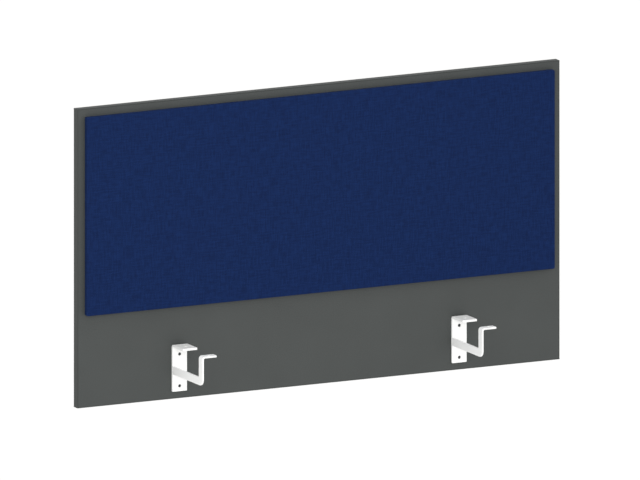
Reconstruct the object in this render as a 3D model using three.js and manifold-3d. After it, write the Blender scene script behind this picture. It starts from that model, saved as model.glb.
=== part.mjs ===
// A desk privacy panel: an edge-banded board with a clip-on upholstered pad, held at the back of a desk
// by two welded steel brackets that screw up into the desk's underside.
// Millimetres, +Z up. x = 0 is the middle of the panel, y = 0 the board's front face, which looks
// towards -Y and the person at the desk, and z = 0 the desk's underside, where the flanges end.
import * as THREE from "three";
import { mergeVertices } from "three/addons/utils/BufferGeometryUtils.js";
import Module from "manifold-3d";

// Board and its edge bands
const boardWidth = 1200;
const boardHeight = 680;
const boardThickness = 19;
const bandThickness = 2;
const glueLine = 0.1; // the hot-melt between the core and a band

// Upholstered pad
const padSideMargin = 18; // bare board beside the pad
const padTopMargin = 18.5; // bare board above the pad
const padBottomReveal = 210; // bare board below the pad
const coverThickness = 1;
const feltThickness = 2;
const padBoardThickness = 8;
const returnWidth = 25; // how far the cloth is turned over onto the pad's back
const layerGap = 0.3; // between one layer of the pad and the next, and behind it

// Push-in clips that hold the pad on the board
const clipColumns = 3;
const clipRows = 2;
const clipInset = 70; // from the pad's edge to the middle of a clip
const socketRadius = 8;
const socketDepth = 11;
const socketWall = 2;
const socketLipRadius = 4.2; // the throat that the stud's head snaps through
const socketLipHeight = 2.5;
const studNeckRadius = 3;
const studHeadRadius = 4;
const studHeadLength = 4;
const studCollarRadius = 9;
const studAnchorRadius = 4;
const studAnchorLength = 5;
const clipClearance = 0.3; // round a clip in the hole that takes it, and at its ends

// Bracket plate, with the flange that its upper end is bent forward into
const bracketSpacing = 696; // between the middles of the two plates
const plateWidth = 36;
const plateHeight = 107;
const plateThickness = 5;
const plateBend = 2; // inside radius
const plateMargin = 17; // from the plate's lower end to the board's lower edge
const plateGap = 0.3; // the paint between the plate and the board
const nearFlangeDepth = 57; // from the board's face to the flange's tip
const nearHoleRadius = 3.5;
const nearHoleFromTip = 22;

// Bracket arm: a flat L on edge, with a tab bent over at the top
const armThickness = 4;
const armDepth = 18; // of the bar and of the upright, seen from the side
const armRise = 40; // from the plate's lower end to the arm's underside
const armReach = 153.5; // from the board's face to the upright's outer edge
const armCorner = 15; // outside radius between the bar and the upright
const armBend = 3; // inside radius of the tab's bend
const farHoleRadius = 3;
const weldGap = 0.3; // root gap between the arm's end and the plate

// Screws that hold the plates on the board, 3.5 x 16 with countersunk heads
const screwTopDrop = 22.5; // from the plate's upper end
const screwBottomRise = 12; // from the plate's lower end
const screwLength = 16;
const screwRadius = 1.75;
const screwPoint = 3; // length of the tip's taper
const headRadius = 3.5;
const headCone = 1.75; // height of the countersunk part
const headRim = 0.3; // straight edge above the cone
const countersinkLedge = 0.8; // metal left under the countersink
const screwClearance = 0.25; // round the shank and the head
const pilotRadius = 1.95;
const pilotExtra = 1; // past the screw's tip
const recessWidth = 1; // of the cross in the head
const recessRadius = 1.9;
const recessDepth = 1.6;

const roundSteps = 24; // sides of a hole or a turned piece
const cornerSteps = 8; // sides of a bend

// Places that follow from the sizes
const boardBottom = -(plateHeight + plateMargin);
const boardTop = boardBottom + boardHeight;
const padBottom = boardBottom + padBottomReveal;
const padTop = boardTop - padTopMargin;
const padHalfWidth = boardWidth / 2 - padSideMargin;
const padBack = -layerGap;
const padBoardBack = padBack - coverThickness - layerGap;
const padBoardFront = padBoardBack - padBoardThickness;
const feltBack = padBoardFront - layerGap;
const feltFront = feltBack - feltThickness;
const padFront = feltFront - layerGap - coverThickness;
const coreInset = bandThickness + glueLine; // from the board's outline to its core
const layerInset = coverThickness + layerGap; // from the pad's outline to what the cover wraps
const plateBack = -plateGap;
const plateFront = plateBack - plateThickness;
const screwHeadFront = plateBack - countersinkLedge - headCone - headRim;
const screwTip = screwHeadFront + screwLength;
const clipHeights = spread(padBottom + clipInset, padTop - clipInset, clipRows);
const clipPlaces = spread(-padHalfWidth + clipInset, padHalfWidth - clipInset, clipColumns)
  .flatMap((x) => clipHeights.map((z) => [x, z]));
const bracketSides = [
  { side: "left", x: -bracketSpacing / 2 },
  { side: "right", x: bracketSpacing / 2 },
];
const screwHeights = [
  { end: "upper", z: -screwTopDrop },
  { end: "lower", z: -plateHeight + screwBottomRise },
];

const wasm = await Module();
wasm.setup();

const finishes = {
  board: { color: 0x525554, roughness: 0.6, metalness: 0 },
  band: { color: 0x4f5251, roughness: 0.5, metalness: 0 },
  fibreboard: { color: 0x8a6a48, roughness: 0.9, metalness: 0 },
  felt: { color: 0xb9b6ae, roughness: 1, metalness: 0 },
  cloth: { color: 0x1a2c55, roughness: 0.95, metalness: 0 },
  nylon: { color: 0xe4e1d8, roughness: 0.45, metalness: 0 },
  paint: { color: 0xf4f4f2, roughness: 0.4, metalness: 0.1 },
  screw: { color: 0x1c1d1f, roughness: 0.45, metalness: 0.6 },
};

// count values spaced evenly from first to last
function spread(first, last, count) {
  return Array.from({ length: count }, (_, i) => first + ((last - first) * i) / (count - 1));
}

// A closed three.js geometry as a solid for cutting and joining.
function solidOf(geometry) {
  const plain = geometry.index ? geometry.toNonIndexed() : geometry.clone();
  plain.deleteAttribute("normal");
  plain.deleteAttribute("uv");
  const merged = mergeVertices(plain, 1e-4);
  return new wasm.Manifold(
    new wasm.Mesh({
      numProp: 3,
      vertProperties: merged.attributes.position.array,
      triVerts: new Uint32Array(merged.index.array),
    }),
  );
}

function geometryOf(solid) {
  const mesh = solid.getMesh();
  const geometry = new THREE.BufferGeometry();
  geometry.setAttribute("position", new THREE.BufferAttribute(mesh.vertProperties, 3));
  geometry.setIndex(new THREE.BufferAttribute(mesh.triVerts, 1));
  return geometry.toNonIndexed();
}

// A box between two opposite corners.
function block([x0, y0, z0], [x1, y1, z1]) {
  const box = new THREE.BoxGeometry(x1 - x0, y1 - y0, z1 - z0);
  return solidOf(box.translate((x0 + x1) / 2, (y0 + y1) / 2, (z0 + z1) / 2));
}

function extrude(shape, depth) {
  return new THREE.ExtrudeGeometry(shape, { depth, bevelEnabled: false, curveSegments: cornerSteps });
}

// An outline in (y, z) drawn out from x0 to x1.
function drawnAlongX(shape, x0, x1) {
  const turn = new THREE.Matrix4().makeBasis(
    new THREE.Vector3(0, 1, 0),
    new THREE.Vector3(0, 0, 1),
    new THREE.Vector3(1, 0, 0),
  );
  return solidOf(extrude(shape, x1 - x0).applyMatrix4(turn).translate(x0, 0, 0));
}

// An outline in (x, z) drawn out from y1 forward to y0.
function drawnAlongY(shape, y0, y1) {
  const turn = new THREE.Matrix4().makeBasis(
    new THREE.Vector3(1, 0, 0),
    new THREE.Vector3(0, 0, 1),
    new THREE.Vector3(0, -1, 0),
  );
  return solidOf(extrude(shape, y1 - y0).applyMatrix4(turn).translate(0, y1, 0));
}

// A turned piece on the line through (x, z) along Y, from a profile of [radius, y] points.
function turned(profile, x, z) {
  const points = profile.map(([r, y]) => new THREE.Vector2(r, y));
  return solidOf(new THREE.LatheGeometry(points, roundSteps).translate(x, 0, z));
}

// A round hole of one radius along Y.
function hole(radius, x, z, y0, y1) {
  return turned([[0, y0], [radius, y0], [radius, y1], [0, y1]], x, z);
}

// A round hole of one radius along Z.
function uprightHole(radius, x, y, z0, z1) {
  const cylinder = new THREE.CylinderGeometry(radius, radius, z1 - z0, roundSteps);
  return solidOf(cylinder.rotateX(Math.PI / 2).translate(x, y, (z0 + z1) / 2));
}

function meshOf(name, solid, finish) {
  const mesh = new THREE.Mesh(geometryOf(solid), new THREE.MeshStandardMaterial(finishes[finish]));
  mesh.name = name;
  return mesh;
}

// Chipboard core, with the blind holes for the clips' sockets and the bracket screws.
function makeBoard() {
  const half = boardWidth / 2 - coreInset;
  let core = block([-half, 0, boardBottom + coreInset], [half, boardThickness, boardTop - coreInset]);
  for (const [x, z] of clipPlaces) {
    core = core.subtract(
      hole(socketRadius + clipClearance, x, z, -1, socketDepth + clipClearance),
    );
  }
  for (const { x } of bracketSides) {
    for (const { z } of screwHeights) {
      core = core.subtract(hole(pilotRadius, x, z, -1, screwTip + pilotExtra));
    }
  }
  return meshOf("board", core, "board");
}

// The top and bottom bands run the full width, and the side bands fit between them.
function makeEdgeBands() {
  const half = boardWidth / 2;
  const bands = [
    ["edge_band_top", [-half, boardTop - bandThickness], [half, boardTop]],
    ["edge_band_bottom", [-half, boardBottom], [half, boardBottom + bandThickness]],
    ["edge_band_left", [-half, boardBottom + coreInset], [-half + bandThickness, boardTop - coreInset]],
    ["edge_band_right", [half - bandThickness, boardBottom + coreInset], [half, boardTop - coreInset]],
  ];
  return bands.map(([name, [x0, z0], [x1, z1]]) =>
    meshOf(name, block([x0, 0, z0], [x1, boardThickness, z1]), "band"),
  );
}

// The pad from back to front: a soft fibreboard, a felt, and the cloth that wraps both.
function makePad() {
  const half = padHalfWidth - layerInset;
  const low = padBottom + layerInset;
  const high = padTop - layerInset;
  let backing = block([-half, padBoardFront, low], [half, padBoardBack, high]);
  for (const [x, z] of clipPlaces) {
    const deep = padBoardBack - studAnchorLength - clipClearance;
    backing = backing.subtract(hole(studAnchorRadius + clipClearance, x, z, deep, 0));
  }
  const felt = block([-half, feltFront, low], [half, feltBack, high]);
  const wrapped = block([-padHalfWidth, padFront, padBottom], [padHalfWidth, padBack, padTop]);
  const wall = coverThickness;
  const inside = block(
    [-padHalfWidth + wall, padFront + wall, padBottom + wall],
    [padHalfWidth - wall, padBack - wall, padTop - wall],
  );
  const backWindow = block(
    [-padHalfWidth + returnWidth, padBack - 2 * wall, padBottom + returnWidth],
    [padHalfWidth - returnWidth, padBack + wall, padTop - returnWidth],
  );
  return [
    meshOf("pad_board", backing, "fibreboard"),
    meshOf("pad_felt", felt, "felt"),
    meshOf("pad_cover", wrapped.subtract(inside).subtract(backWindow), "cloth"),
  ];
}

// A cup pressed into the board, with a lip that the stud's head snaps past.
function clipSocket(x, z) {
  const bore = socketRadius - socketWall;
  return turned(
    [
      [socketLipRadius, 0],
      [socketRadius, 0],
      [socketRadius, socketDepth],
      [0, socketDepth],
      [0, socketDepth - socketWall],
      [bore, socketDepth - socketWall],
      [bore, socketLipHeight + 1],
      [socketLipRadius, socketLipHeight],
      [socketLipRadius, 0],
    ],
    x,
    z,
  );
}

// A stud with its anchor in the pad board, its collar between the boards and its head in the socket.
function clipStud(x, z) {
  const neckEnd = socketLipHeight + clipClearance;
  return turned(
    [
      [0, padBoardBack - studAnchorLength],
      [studAnchorRadius, padBoardBack - studAnchorLength],
      [studAnchorRadius, padBoardBack + clipClearance],
      [studCollarRadius, padBoardBack + clipClearance],
      [studCollarRadius, -clipClearance],
      [studNeckRadius, -clipClearance],
      [studNeckRadius, neckEnd],
      [studHeadRadius, neckEnd + studHeadLength / 4],
      [studHeadRadius, neckEnd + studHeadLength / 2],
      [studNeckRadius / 2, neckEnd + studHeadLength],
      [0, neckEnd + studHeadLength],
    ],
    x,
    z,
  );
}

function makeClips() {
  return clipPlaces.flatMap(([x, z], i) => [
    meshOf(`clip_socket_${i + 1}`, clipSocket(x, z), "nylon"),
    meshOf(`clip_stud_${i + 1}`, clipStud(x, z), "nylon"),
  ]);
}

// The plate's section from the side: a wall that turns forward into the near flange.
function plateSection() {
  const outer = plateBend + plateThickness;
  const bendMiddle = plateBack - outer;
  const shape = new THREE.Shape();
  shape.moveTo(plateBack, -plateHeight);
  shape.lineTo(plateBack, -outer);
  shape.absarc(bendMiddle, -outer, outer, 0, Math.PI / 2, false);
  shape.lineTo(-nearFlangeDepth, 0);
  shape.lineTo(-nearFlangeDepth, -plateThickness);
  shape.lineTo(bendMiddle, -plateThickness);
  shape.absarc(bendMiddle, -outer, plateBend, Math.PI / 2, 0, true);
  shape.lineTo(plateFront, -plateHeight);
  return shape;
}

// The countersunk hole for one screw, from the plate's back to past its front.
function countersink(x, z) {
  const shank = screwRadius + screwClearance;
  const head = headRadius + screwClearance;
  return turned(
    [
      [0, plateFront - 1],
      [head, plateFront - 1],
      [head, screwHeadFront + headRim],
      [shank, plateBack - countersinkLedge + screwClearance],
      [shank, plateBack + 1],
      [0, plateBack + 1],
    ],
    x,
    z,
  );
}

function makePlate(side, x) {
  let plate = drawnAlongX(plateSection(), x - plateWidth / 2, x + plateWidth / 2);
  for (const { z } of screwHeights) {
    plate = plate.subtract(countersink(x, z));
  }
  const holeY = -nearFlangeDepth + nearHoleFromTip;
  plate = plate.subtract(uprightHole(nearHoleRadius, x, holeY, -plateThickness - 1, 1));
  return meshOf(`${side}_bracket_plate`, plate, "paint");
}

// The arm's outline from the side: a bar that turns up into the upright.
function armSideOutline() {
  const underside = -plateHeight + armRise;
  const shape = new THREE.Shape();
  shape.moveTo(plateFront - weldGap, underside);
  shape.lineTo(plateFront - weldGap, underside + armDepth);
  shape.lineTo(-armReach + armDepth, underside + armDepth);
  shape.lineTo(-armReach + armDepth, 0);
  shape.lineTo(-armReach, 0);
  shape.lineTo(-armReach, underside + armCorner);
  shape.absarc(-armReach + armCorner, underside + armCorner, armCorner, Math.PI, 1.5 * Math.PI, false);
  return shape;
}

// The arm's section from the front: a thin wall that turns over into the tab.
function armFrontSection(left) {
  const outer = armBend + armThickness;
  const underside = -plateHeight + armRise;
  const shape = new THREE.Shape();
  shape.moveTo(left, underside - 1);
  shape.lineTo(left + armThickness, underside - 1);
  shape.lineTo(left + armThickness, -outer);
  shape.absarc(left + outer, -outer, armBend, Math.PI, Math.PI / 2, true);
  shape.lineTo(left + plateWidth, -armThickness);
  shape.lineTo(left + plateWidth, 0);
  shape.lineTo(left + outer, 0);
  shape.absarc(left + outer, -outer, outer, Math.PI / 2, Math.PI, false);
  return shape;
}

function makeArm(side, x) {
  const left = x - plateWidth / 2;
  const bent = drawnAlongY(armFrontSection(left), -armReach - 1, 0);
  const arm = drawnAlongX(armSideOutline(), left - 1, left + plateWidth + 1).intersect(bent);
  const tabMiddle = left + (armBend + armThickness + plateWidth) / 2;
  const holeY = -armReach + armDepth / 2;
  return meshOf(
    `${side}_bracket_arm`,
    arm.subtract(uprightHole(farHoleRadius, tabMiddle, holeY, -armThickness - 1, 1)),
    "paint",
  );
}

// One countersunk screw with a cross recess in its head.
function bracketScrew(x, z) {
  const coneEnd = screwHeadFront + headRim + headCone;
  const screw = turned(
    [
      [0, screwHeadFront],
      [headRadius, screwHeadFront],
      [headRadius, screwHeadFront + headRim],
      [screwRadius, coneEnd],
      [screwRadius, screwTip - screwPoint],
      [0, screwTip],
    ],
    x,
    z,
  );
  const y0 = screwHeadFront - 1;
  const y1 = screwHeadFront + recessDepth;
  const long = recessRadius;
  const narrow = recessWidth / 2;
  const across = block([x - long, y0, z - narrow], [x + long, y1, z + narrow]);
  const upDown = block([x - narrow, y0, z - long], [x + narrow, y1, z + long]);
  return screw.subtract(across.add(upDown));
}

function makeBrackets() {
  return bracketSides.flatMap(({ side, x }) => [
    makePlate(side, x),
    makeArm(side, x),
    ...screwHeights.map(({ end, z }) =>
      meshOf(`${side}_${end}_bracket_screw`, bracketScrew(x, z), "screw"),
    ),
  ]);
}

const group = new THREE.Group();
group.add(makeBoard(), ...makeEdgeBands(), ...makePad(), ...makeClips(), ...makeBrackets());

export default group;
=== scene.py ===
# Desk privacy panel: the finished look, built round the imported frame. Metres, +Z up.
import math
import bpy
import bmesh
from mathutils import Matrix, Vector, noise


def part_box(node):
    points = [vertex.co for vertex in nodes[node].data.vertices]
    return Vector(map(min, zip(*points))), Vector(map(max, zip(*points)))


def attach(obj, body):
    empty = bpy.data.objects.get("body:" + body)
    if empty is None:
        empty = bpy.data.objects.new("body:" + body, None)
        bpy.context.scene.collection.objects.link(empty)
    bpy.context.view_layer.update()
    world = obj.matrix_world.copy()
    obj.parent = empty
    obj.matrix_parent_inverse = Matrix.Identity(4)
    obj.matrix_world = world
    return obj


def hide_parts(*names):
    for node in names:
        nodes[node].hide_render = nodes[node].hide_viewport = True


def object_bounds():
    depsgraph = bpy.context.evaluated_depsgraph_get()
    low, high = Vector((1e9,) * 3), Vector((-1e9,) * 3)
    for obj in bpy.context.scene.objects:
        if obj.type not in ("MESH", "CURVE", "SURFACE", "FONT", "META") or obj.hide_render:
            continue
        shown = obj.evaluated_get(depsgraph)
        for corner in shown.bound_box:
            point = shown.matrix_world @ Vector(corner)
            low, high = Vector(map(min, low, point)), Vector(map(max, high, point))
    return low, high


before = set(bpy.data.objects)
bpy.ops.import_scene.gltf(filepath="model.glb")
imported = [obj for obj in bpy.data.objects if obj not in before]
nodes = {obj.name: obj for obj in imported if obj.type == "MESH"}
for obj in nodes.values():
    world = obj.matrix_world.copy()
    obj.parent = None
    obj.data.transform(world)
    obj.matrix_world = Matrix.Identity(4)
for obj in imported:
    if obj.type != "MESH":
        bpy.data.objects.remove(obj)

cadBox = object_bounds()
scene = bpy.context.scene
mm = 0.001
mergeWithin = 1e-6      # metres: points nearer than this become one
cutWithin = 1e-7        # metres: points nearer than this lie on a cut
print("frame loaded:", len(nodes), "nodes")


def linearColour(hexText):
    # an sRGB hex colour as the linear RGBA that shaders take
    parts = [int(hexText[i:i + 2], 16) / 255 for i in (1, 3, 5)]
    return [c / 12.92 if c <= 0.04045 else ((c + 0.055) / 1.055) ** 2.4 for c in parts] + [1]


def addNode(tree, kind, links=None, **settings):
    # one node, its own settings, and its inputs as values or as sockets to link from
    node = tree.nodes.new(kind)
    for name, value in settings.items():
        setattr(node, name, value)
    for name, value in (links or {}).items():
        if isinstance(value, bpy.types.NodeSocket):
            tree.links.new(value, node.inputs[name])
        else:
            node.inputs[name].default_value = value
    return node


def newMaterial(name):
    material = bpy.data.materials.new(name)
    material.use_nodes = True
    tree = material.node_tree
    return material, tree, tree.nodes["Principled BSDF"]


def finishLook(tree, shader, colour, height, look):
    # what every material ends with: its colour, its bump and its plain values
    bump = addNode(tree, "ShaderNodeBump", {
        "Height": height, "Distance": look["bump"], "Strength": look.get("bumpStrength", 1),
    })
    tree.links.new(colour, shader.inputs["Base Color"])
    tree.links.new(bump.outputs["Normal"], shader.inputs["Normal"])
    for key, label in (("rough", "Roughness"), ("gloss", "Specular IOR Level"), ("metal", "Metallic")):
        if key in look:
            shader.inputs[label].default_value = look[key]


def linkedObject(name, data):
    holder = bpy.data.objects.new(name, data)
    scene.collection.objects.link(holder)
    return holder


def evaluatedMesh(holder):
    # what an object's modifiers make of it, as a plain mesh; the object itself goes
    bpy.context.view_layer.update()
    mesh = bpy.data.meshes.new_from_object(holder.evaluated_get(bpy.context.evaluated_depsgraph_get()))
    bpy.data.objects.remove(holder)
    return mesh


def smoothShade(mesh, angle=35):
    mesh.polygons.foreach_set("use_smooth", [True] * len(mesh.polygons))
    mesh.set_sharp_from_angle(angle=math.radians(angle))
    mesh.update()


def evenNormals(mesh):
    # wide flat faces stay flat beside their eased edges
    smoothShade(mesh)
    holder = linkedObject("evenNormals", mesh)
    weighted = holder.modifiers.new("even", "WEIGHTED_NORMAL")
    weighted.weight = 100
    weighted.keep_sharp = True
    return evaluatedMesh(holder)


def finishPiece(name, mesh, material, standsFor=()):
    # a mesh with its place already in it becomes a piece of the object
    piece = linkedObject(name, mesh)
    mesh.materials.clear()
    mesh.materials.append(material)
    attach(piece, "root")
    if standsFor:
        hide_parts(*standsFor)
    return piece


def meshFrom(bm, name):
    mesh = bpy.data.meshes.new(name)
    bm.to_mesh(mesh)
    bm.free()
    return mesh


def ramp(first, last, count):
    # count + 1 values, evenly spaced
    return [first + (last - first) * i / count for i in range(count + 1)]


camera = {
    "azimuth": -26.57,      # degrees, from the left of straight on
    "elevation": 11.8,
    "across": 1.4245,       # width of the view
    "right": -0.0269,       # the aim, from the middle of the object
    "up": -0.0002,
    "distance": 4,
}


def makeCamera():
    data = bpy.data.cameras.new("camera")
    data.type = "ORTHO"
    data.ortho_scale = camera["across"]
    a, e = math.radians(camera["azimuth"]), math.radians(camera["elevation"])
    back = Vector((math.sin(a) * math.cos(e), -math.cos(a) * math.cos(e), math.sin(e)))
    right = Vector((math.cos(a), math.sin(a), 0))
    up = back.cross(right)
    middle = (cadBox[0] + cadBox[1]) / 2
    holder = linkedObject("camera", data)
    holder.location = middle + right * camera["right"] + up * camera["up"] + back * camera["distance"]
    holder.rotation_euler = (-back).to_track_quat("-Z", "Y").to_euler()
    scene.camera = holder


makeCamera()
print("camera placed")


studio = {
    "sky": 1.15,            # even white light from all round
    "floorColour": "#ebebea",
    "floorHalf": 30,
    "floorDrop": 0.58,      # from the panel's lower edge, as under a desk
    "keyPower": 26,
    "keySize": 1.6,
    "keyPlace": (-1.5, -2.8, 1.1),
    "fillPower": 8,
    "fillSize": 2.5,
    "fillPlace": (2.6, -2.0, 1.6),
    "washPower": 0.4,       # a wide even light along the panel, from above its left end
    "washAngle": 30,        # degrees
    "washFrom": (-0.8, -0.12, 0.6),
}


def makeFloor():
    half = studio["floorHalf"]
    z = cadBox[0].z - studio["floorDrop"]
    corners = [(-half, -half, z), (half, -half, z), (half, half, z), (-half, half, z)]
    mesh = bpy.data.meshes.new("floor")
    mesh.from_pydata(corners, [], [(0, 1, 2, 3)])
    material, tree, shader = newMaterial("paper floor")
    shader.inputs["Base Color"].default_value = linearColour(studio["floorColour"])
    shader.inputs["Roughness"].default_value = 1
    shader.inputs["Specular IOR Level"].default_value = 0
    mesh.materials.append(material)
    floor = linkedObject("floor", mesh)


def makeLight(name, power, size, place):
    data = bpy.data.lights.new(name, "AREA")
    data.shape = "DISK"
    data.size = size
    data.energy = power
    lamp = linkedObject(name, data)
    lamp.location = place
    aim = (cadBox[0] + cadBox[1]) / 2
    lamp.rotation_euler = (aim - Vector(place)).to_track_quat("-Z", "Y").to_euler()


def makeWash():
    data = bpy.data.lights.new("wash", "SUN")
    data.energy = studio["washPower"]
    data.angle = math.radians(studio["washAngle"])
    lamp = linkedObject("wash", data)
    lamp.rotation_euler = Vector(studio["washFrom"]).to_track_quat("Z", "Y").to_euler()


def makeStudio():
    makeFloor()
    makeLight("key", studio["keyPower"], studio["keySize"], studio["keyPlace"])
    makeLight("fill", studio["fillPower"], studio["fillSize"], studio["fillPlace"])
    makeWash()
    world = bpy.data.worlds.new("studio")
    world.use_nodes = True
    background = world.node_tree.nodes["Background"]
    background.inputs["Color"].default_value = (1, 1, 1, 1)
    background.inputs["Strength"].default_value = studio["sky"]
    scene.world = world
    scene.view_settings.view_transform = "Standard"


makeStudio()
print("studio lit")


melamineLook = {
    "dark": "#363938",
    "light": "#454847",
    "tones": (0.3, 0.7),     # where along the pattern the two are reached
    "pearl": 2.4 * mm,       # a pressed pearl texture is about 1 mm; drawn this coarse so that it shows
    "cloudy": 90 * mm,
    "cloudShare": 0.15,
    "bump": 0.2 * mm,
    "roughRange": (0.5, 0.62),
    "gloss": 0.3,
}


def makeMelamine():
    # melamine paper pressed on chipboard: a matt even grey with a fine pearl grain
    look = melamineLook
    material, tree, shader = newMaterial("graphite melamine")
    place = addNode(tree, "ShaderNodeTexCoord").outputs["Object"]
    pearl = addNode(tree, "ShaderNodeTexNoise", {
        "Vector": place, "Scale": 1 / look["pearl"], "Detail": 4, "Roughness": 0.65,
    })
    cloud = addNode(tree, "ShaderNodeTexNoise", {"Vector": place, "Scale": 1 / look["cloudy"], "Detail": 3})
    both = addNode(tree, "ShaderNodeMix", {
        "Factor": look["cloudShare"], "A": pearl.outputs["Fac"], "B": cloud.outputs["Fac"],
    })
    tint = addNode(tree, "ShaderNodeValToRGB", {"Fac": both.outputs["Result"]})
    for stop, at, tone in zip(tint.color_ramp.elements, look["tones"], ("dark", "light")):
        stop.position = at
        stop.color = linearColour(look[tone])
    sheen = addNode(tree, "ShaderNodeMapRange", {
        "Value": pearl.outputs["Fac"], "To Min": look["roughRange"][0], "To Max": look["roughRange"][1],
    })
    tree.links.new(sheen.outputs["Result"], shader.inputs["Roughness"])
    finishLook(tree, shader, tint.outputs["Color"], pearl.outputs["Fac"], look)
    return material


bandLook = {
    "dark": "#363938",
    "light": "#3e403f",
    "drawLines": 1.1 * mm,    # extrusion lines along the strip
    "drawn": (0.02, 1, 0.02),    # stretches them both ways that the strips run
    "fleck": 3 * mm,
    "fleckShare": 0.5,
    "bump": 0.03 * mm,
    "rough": 0.6,
    "gloss": 0.15,
}


def makeBandPlastic():
    # ABS strip, extruded: flatter and a little duller than the face, with faint lines along its length
    look = bandLook
    material, tree, shader = newMaterial("ABS edging")
    place = addNode(tree, "ShaderNodeTexCoord").outputs["Object"]
    drawn = addNode(tree, "ShaderNodeMapping", {"Vector": place, "Scale": look["drawn"]})
    lines = addNode(tree, "ShaderNodeTexNoise", {
        "Vector": drawn.outputs["Vector"], "Scale": 1 / look["drawLines"], "Detail": 2,
    })
    fleck = addNode(tree, "ShaderNodeTexNoise", {"Vector": place, "Scale": 1 / look["fleck"], "Detail": 3})
    both = addNode(tree, "ShaderNodeMix", {
        "Factor": look["fleckShare"], "A": lines.outputs["Fac"], "B": fleck.outputs["Fac"],
    })
    tint = addNode(tree, "ShaderNodeValToRGB", {"Fac": both.outputs["Result"]})
    tint.color_ramp.elements[0].color = linearColour(look["dark"])
    tint.color_ramp.elements[1].color = linearColour(look["light"])
    finishLook(tree, shader, tint.outputs["Color"], both.outputs["Result"], look)
    return material


clothLook = {
    "thread": 2.2 * mm,      # crepe yarns are about 0.8 mm apart; drawn this coarse so that they show
    # painted shade: the gaps between the yarns are drawn darker
    "gap": "#0a1534",
    "yarn": "#0e2046",
    # painted highlight: the tops of the yarns are drawn lighter
    "crestPaintedHighlight": "#152b59",
    "tones": (0.15, 0.5, 0.85),
    "wander": 9 * mm,        # from one sway of a yarn to the next
    "sway": 0.5,             # how far it sways, against the thread's spacing
    "slubLong": 26 * mm,     # thick places in a yarn
    "slubWide": 3.2 * mm,
    "slubShare": 0.5,
    "heather": 0.06,         # how far light and dark yarns stray from the middle tone
    "heatherBand": (0.4, 0.6),
    "bump": 0.35 * mm,
    "bumpStrength": 0.6,
    "rough": 0.95,
    "gloss": 0.08,
    "sheen": 0.06,           # of the fine fibres that stand off the yarns
    "sheenRough": 0.6,
    "sheenColour": "#4a5f92",
}


def makeCloth():
    # polyester crepe, plain woven and matt: small crossing yarns with uneven slubs and a faint fibre sheen;
    # the yarns' tops carry a painted highlight and the gaps between them painted shade
    look = clothLook
    material, tree, shader = newMaterial("navy crepe")
    lie = addNode(tree, "ShaderNodeUVMap", uv_map="cloth").outputs["UV"]
    wander = addNode(tree, "ShaderNodeTexNoise", {"Vector": lie, "Scale": 1 / look["wander"], "Detail": 1})
    shift = addNode(tree, "ShaderNodeVectorMath", {
        0: wander.outputs["Color"], 1: (0.5, 0.5, 0.5),
    }, operation="SUBTRACT")
    small = addNode(tree, "ShaderNodeVectorMath", {
        0: shift.outputs["Vector"], "Scale": look["sway"] * look["thread"],
    }, operation="SCALE")
    swayed = addNode(tree, "ShaderNodeVectorMath", {0: lie, 1: small.outputs["Vector"]}, operation="ADD")
    laid = swayed.outputs["Vector"]
    waveScale = math.pi / 10 / look["thread"]    # one hump for each yarn
    warp = addNode(tree, "ShaderNodeTexWave", {"Vector": laid, "Scale": waveScale}, bands_direction="X")
    weft = addNode(tree, "ShaderNodeTexWave", {"Vector": laid, "Scale": waveScale}, bands_direction="Y")
    over = addNode(tree, "ShaderNodeTexChecker", {
        "Vector": laid, "Scale": 1 / look["thread"], "Color1": (1, 1, 1, 1), "Color2": (0, 0, 0, 1),
    }).outputs["Fac"]
    weave = addNode(tree, "ShaderNodeMix", {
        "Factor": over, "A": warp.outputs["Fac"], "B": weft.outputs["Fac"],
    })
    long, wide = 1 / look["slubLong"], 1 / look["slubWide"]
    slubs = []
    for stretch in ((long, wide, 1), (wide, long, 1)):
        drawn = addNode(tree, "ShaderNodeMapping", {"Vector": lie, "Scale": stretch})
        streaks = addNode(tree, "ShaderNodeTexNoise", {
            "Vector": drawn.outputs["Vector"], "Scale": 1, "Detail": 2,
        })
        slubs.append(streaks.outputs["Fac"])
    slub = addNode(tree, "ShaderNodeMix", {"Factor": over, "A": slubs[0], "B": slubs[1]})
    height = addNode(tree, "ShaderNodeMix", {
        "Factor": look["slubShare"], "A": weave.outputs["Result"], "B": slub.outputs["Result"],
    })
    cross = addNode(tree, "ShaderNodeMix", {"Factor": 0.5, "A": slubs[0], "B": slubs[1]})
    heather = addNode(tree, "ShaderNodeMapRange", {
        "Value": cross.outputs["Result"],
        "From Min": look["heatherBand"][0], "From Max": look["heatherBand"][1],
        "To Min": -look["heather"], "To Max": look["heather"],
    })
    toned = addNode(tree, "ShaderNodeMath", {
        0: height.outputs["Result"], 1: heather.outputs["Result"],
    }, operation="ADD")
    # the weave's height paints the crests lighter (painted highlight) and the gaps darker (painted shade);
    # the heather's random tone is added to it
    tint = addNode(tree, "ShaderNodeValToRGB", {"Fac": toned.outputs["Value"]})
    first, middle, last = look["tones"]
    tint.color_ramp.elements[0].position = first
    tint.color_ramp.elements[0].color = linearColour(look["gap"])
    tint.color_ramp.elements[1].position = last
    tint.color_ramp.elements[1].color = linearColour(look["crestPaintedHighlight"])
    tint.color_ramp.elements.new(middle).color = linearColour(look["yarn"])
    finishLook(tree, shader, tint.outputs["Color"], height.outputs["Result"], look)
    shader.inputs["Sheen Weight"].default_value = look["sheen"]
    shader.inputs["Sheen Roughness"].default_value = look["sheenRough"]
    shader.inputs["Sheen Tint"].default_value = linearColour(look["sheenColour"])
    return material


paintLook = {
    "colour": "#efefee",
    "shade": "#e8e8e7",
    "drift": 35 * mm,         # from a lighter place to a darker one
    "peel": 2.2 * mm,         # orange peel of a cured powder coat
    "bump": 0.05 * mm,
    "roughRange": (0.32, 0.42),
}


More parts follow.
